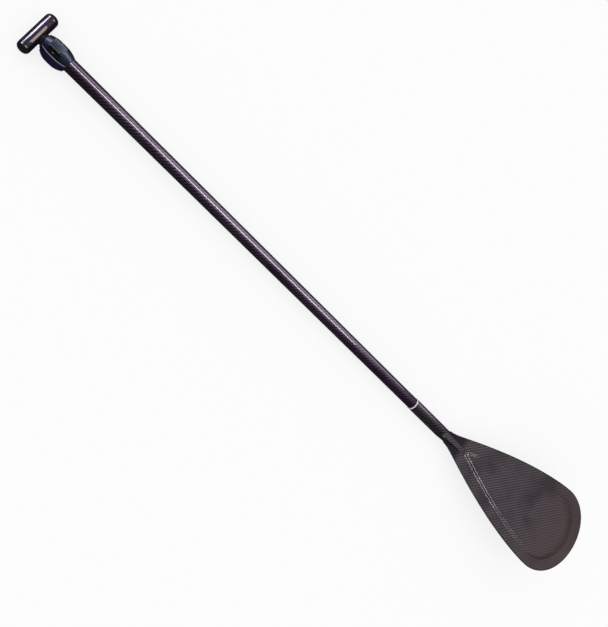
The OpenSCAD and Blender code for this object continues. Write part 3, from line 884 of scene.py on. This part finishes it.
@dataclass
class Studio:
    """A pale floor, an even white surround and the light panels."""

    floor_size: float = 30.0
    fill: float = 1.0
    floor_glow: float = 0.8
    gloss_bright: float = 0.32
    gloss_dark: float = 0.012

    def floor(self) -> None:
        """A square floor just under the paddle, darker in reflections, as a shaded floor is."""
        half = self.floor_size / 2
        mesh = bpy.data.meshes.new("floor")
        corners = [(-half, -half, 0), (half, -half, 0), (half, half, 0), (-half, half, 0)]
        mesh.from_pydata(corners, [], [(0, 1, 2, 3)])
        made = bpy.data.objects.new("floor", mesh)
        made.location.z = -0.4 * MM
        bpy.context.scene.collection.objects.link(made)
        material = bpy.data.materials.new("painted floor")
        material.use_nodes = True
        tree = material.node_tree
        tree.nodes.clear()
        rays = add(tree, "LightPath").outputs["Is Glossy Ray"]
        lit = add(tree, "BsdfDiffuse", {"Color": linear("#fbfbfb")})
        glow = add(tree, "Emission", {"Color": linear("#fdfdfd"), "Strength": 1.0})
        pale = add(tree, "MixShader", {0: self.floor_glow, 1: lit.outputs[0], 2: glow.outputs[0]})
        shade = add(tree, "BsdfDiffuse", {"Color": linear("#2a2a34")})
        mixed = add(tree, "MixShader", {0: rays, 1: pale.outputs[0], 2: shade.outputs[0]})
        add(tree, "OutputMaterial", {"Surface": mixed.outputs[0]})
        mesh.materials.append(material)

    def surround(self) -> None:
        """Even white for the eye and for fill; in reflections bright overhead, more so over +Y."""
        world = bpy.data.worlds.new("studio")
        world.use_nodes = True
        tree = world.node_tree
        tree.nodes.clear()
        way = add(tree, "TexCoord").outputs["Generated"]
        lean = add(tree, "VectorMath", {0: way, 1: Vector((0.0, 0.58, 0.81))}, operation="DOT_PRODUCT")
        level = add(tree, "MapRange", {"Value": lean.outputs["Value"], "From Min": 0.35, "From Max": 1.0,
                                       "To Min": self.gloss_dark, "To Max": self.gloss_bright},
                    interpolation_type="SMOOTHSTEP")
        rays = add(tree, "LightPath").outputs["Is Glossy Ray"]
        even = add(tree, "Background", {"Color": linear("#ffffff"), "Strength": self.fill})
        dim = add(tree, "Background", {"Color": linear("#e6e8ff"), "Strength": level.outputs[0]})
        mixed = add(tree, "MixShader", {0: rays, 1: even.outputs[0], 2: dim.outputs[0]})
        add(tree, "OutputWorld", {"Surface": mixed.outputs[0]})
        bpy.context.scene.world = world

    def cards(self) -> tuple[Card, ...]:
        """Panels for the grip, the clamp, the shaft and the blade, each for the pieces it names."""
        grip_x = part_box("palm_bar")[0].x
        blade_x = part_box("blade_neck")[1].x
        bar = ("palm_bar_shell", "palm_cap_left", "palm_cap_right")
        round_pieces = ("shaft_tube", "neck_sleeve", "trim_ring")
        blade = ("blade_face", "blade_back", "blade_edge_strip")
        return (
            Card("strip over the shaft", (-0.30, 0.176, 0.62), (-0.30, 0.0, 0.02),
                 (1.36, 0.075), 27.0, ("shaft_tube", "trim_ring")),
            Card("panel beyond the grip", (grip_x - 0.98, 0.36, 0.70), (grip_x, 0.0, 0.02),
                 (0.50, 0.42), 24.0, bar, "#ecebff"),
            Card("low panel beyond the grip", (grip_x - 0.94, 0.36, 0.74), (grip_x, 0.0, 0.02),
                 (0.60, 0.42), 7.0, ("clamp_shell",), "#dfe8ff"),
            Card("warm panel over the bar", (grip_x + 0.22, 0.108, 0.37), (grip_x + 0.22, -0.012, 0.02),
                 (0.32, 0.12), 7.0, bar, "#ffe8dc", math.radians(8)),
            Card("panel beside the shaft", (0.1, 1.5, 0.95), (0.1, 0.0, 0.02),
                 (2.8, 1.1), 2.2, round_pieces, "#f6f6ff"),
            Card("panel over the clamp", (-0.9, 0.76, 0.82), (-0.82, 0.0, 0.02),
                 (2.6, 0.5), 7.0, ("clamp_shell",), "#dfe8ff"),
            Card("strip beside the blade", (blade_x + 0.27, -1.16, 1.20), (blade_x + 0.15, -0.04, 0.04),
                 (0.50, 0.18), 20.0, blade),
            Card("end of the strip beside the blade", (blade_x + 0.68, -1.16, 1.20),
                 (blade_x + 0.30, -0.06, 0.04), (0.32, 0.18), 5.0, blade),
            Card("key over the blade", (blade_x - 0.9, -1.0, 1.3), (blade_x + 0.25, 0.0, 0.04),
                 (0.9, 0.9), 14.0, blade, shades=True),
            Card("panel across the blade", (blade_x + 0.46, 1.95, 0.62), (blade_x + 0.1, 0.01, 0.04),
                 (0.13, 0.22), 14.0, blade, "#fff4e8"))

    def build(self) -> None:
        """Makes the floor, the surround and the panels."""
        self.floor()
        self.surround()
        for card in self.cards():
            card.build()


@dataclass
class Camera:
    """The studio camera, looking down on the paddle from over the grip's half of the shaft."""

    past_clamp: float = 0.1772
    distance: float = 1.445
    lean: float = math.radians(16.4)
    swing: float = math.radians(21.23)
    tip: float = math.radians(1.0)
    roll: tuple[float, float] = (0.712, 0.7022)
    lens: float = 40.2

    def build(self) -> None:
        """Works out the camera's place and axes and makes it the scene's camera.

        The camera stands `distance` from the shaft's axis, `past_clamp` from the clamp's grip
        end, leaning towards -Y, then swings along the shaft and tips across it. The roll gives its
        right side as shares of the shaft's direction and of the direction across it.
        """
        low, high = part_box("outer_shaft")
        axis_z = (low.z + high.z) / 2
        back = Vector((0, -math.sin(self.lean), math.cos(self.lean)))
        across = Vector((0, math.cos(self.lean), math.sin(self.lean)))
        along = math.cos(self.swing) * Vector((1, 0, 0)) + math.sin(self.swing) * back
        away = math.sin(self.swing) * Vector((1, 0, 0)) - math.cos(self.swing) * back
        forward = math.cos(self.tip) * away - math.sin(self.tip) * across
        aside = math.sin(self.tip) * away + math.cos(self.tip) * across
        right = self.roll[0] * along + self.roll[1] * aside
        down = self.roll[1] * along - self.roll[0] * aside
        data = bpy.data.cameras.new("studio camera")
        data.sensor_fit = "AUTO"
        data.sensor_width = 36.0
        data.lens = self.lens
        data.clip_start = 0.01
        made = bpy.data.objects.new("studio camera", data)
        place = Vector((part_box("clamp_body")[0].x + self.past_clamp, 0, axis_z)) + self.distance * back
        axes = Matrix((right, -down, -forward)).transposed().to_4x4()
        made.matrix_world = Matrix.Translation(place) @ axes
        bpy.context.scene.collection.objects.link(made)
        bpy.context.scene.camera = made


def main() -> None:
    """Builds the finishes, the sub-assemblies in order from grip to tip, the studio and the camera."""
    logging.basicConfig(level=logging.INFO, format="%(name)s: %(message)s")
    bpy.context.scene.view_settings.view_transform = "Standard"

    # Lacquered carbon tube: nearly black, the cloth only just showing under a wet-looking coat.
    grip_shell = WovenCarbon("lacquered carbon of the palm bar", "#0f0b18", "#1f182c", 0.4, 0.7, 1.0,
                             ribs=0.3).make()
    # Moulded ABS cap, polished in its tool: the same deep gloss without any cloth.
    grip_cap = MouldedPlastic("polished ABS cap", "#0e0b14", "#141019", 0.3, 0.0, 1.0).make()
    # Glass-filled nylon inside the grip: satin, a little grey from the glass.
    core_nylon = MouldedPlastic("glass-filled nylon core", "#1d1d20", "#26262a", 0.5).make()
    # Extension's laminate, with printed length marks for setting the height.
    extension = WovenCarbon("lacquered carbon of the extension", "#17151d", "#3b3540", 0.4, 0.8, 1.0,
                            scale_marks=True).make()
    # Nitrile rubber seal: dull black.
    rubber = MouldedPlastic("moulded nitrile rubber", "#0f0f10", "#151516", 0.7).make()
    # Glass-filled nylon of the clamp, spark-eroded: satin blue-black with a soft, wide sheen.
    clamp_nylon = MouldedPlastic("glass-filled nylon clamp", "#121628", "#181d33", 0.34).make()
    # The lever's nylon is a shade darker than the clamp body's.
    lever_nylon = LeverPlastic("glass-filled nylon lever", "#0a0a26", "#0e0e2e", 0.32).make()
    # Natural acetal bush: pale grey and slippery-looking.
    acetal = MouldedPlastic("natural acetal bush", "#85878c", "#909299", 0.35).make()
    # Turned stainless steel: bright, with fine tool lines.
    steel = TurnedMetal("turned stainless steel", "#b9bcc2", "#d2d4d8", 0.28, 1.0).make()
    # Black-oxide bolt: turned steel darkened in a salt bath, with a low oily gleam.
    black_steel = TurnedMetal("black-oxide steel", "#1b1b1e", "#26262a", 0.4, 0.6).make()
    # Shaft's twill under clear resin: plum-black ribs that lighten where the light grazes.
    shaft = WovenCarbon("clear-coated twill of the shaft", "#12091c", "#5c4e5c", 0.42, 0.9, 1.0,
                        mottle="#331a30", mottle_size=80 * MM).make()
    # Polyethylene foam, unseen once the paddle is together.
    foam = CellFoam("closed-cell foam", "#d8cf9e", "#c2b884", 0.85).make()
    # Trim ring: silver-white lacquer, the brightest thing on the shaft.
    ring = MouldedPlastic("silver-white lacquered ring", "#e9e9ee", "#f2f2f5", 0.2, 0.2, 0.6).make()
    # Neck's laminate: more resin and fewer bright tows than the shaft.
    neck = WovenCarbon("clear-coated twill of the neck", "#08070d", "#6a6065", 0.42, 0.9, 1.0, 0.2).make()
    # Blade's heavy twill: brown-plum grey ribs under a wet gloss, near-black on the shoulders beside the
    # ridge near the neck.
    blade = WovenCarbon("clear-coated twill of the blade", "#1e181b", "#7a6f71", 0.42, 0.8, 1.0,
                        mottle="#31252b", dark_shoulder_end=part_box("blade_neck")[1].x + 76 * MM).make()
    # Edge strip: thin glossy black ABS.
    strip = MouldedPlastic("glossy ABS edge strip", "#0b0a0e", "#121116", 0.25, 0.0, 0.5).make()

    Grip().build(grip_shell, grip_cap, core_nylon)
    Tube("extension_tube", "extension_laminate_tube", Body.GRIP, "extension_laminate", 1.55 * MM, 36,
         groove=0.7 * MM).build(extension)
    dress("extension_foot", core_nylon)
    dress("foot_seal", rubber)
    Clamp().build(clamp_nylon, lever_nylon, acetal, steel, black_steel)
    Tube("outer_shaft", "shaft_tube", Body.SHAFT, "shaft_carbon", 1.3 * MM, 40).build(shaft)
    dress("shaft_bung", foam)
    Tube("joint_ring", "trim_ring", Body.SHAFT, "trim_ring", 1.4 * MM, 40).build(ring)
    Tube("blade_neck", "neck_sleeve", Body.SHAFT, "neck_carbon", 1.0 * MM, 40).build(neck)
    dress("neck_plug", foam)
    Blade().build(blade, strip, foam)
    Studio().build()
    Camera().build()


if __name__ == "__main__":
    main()
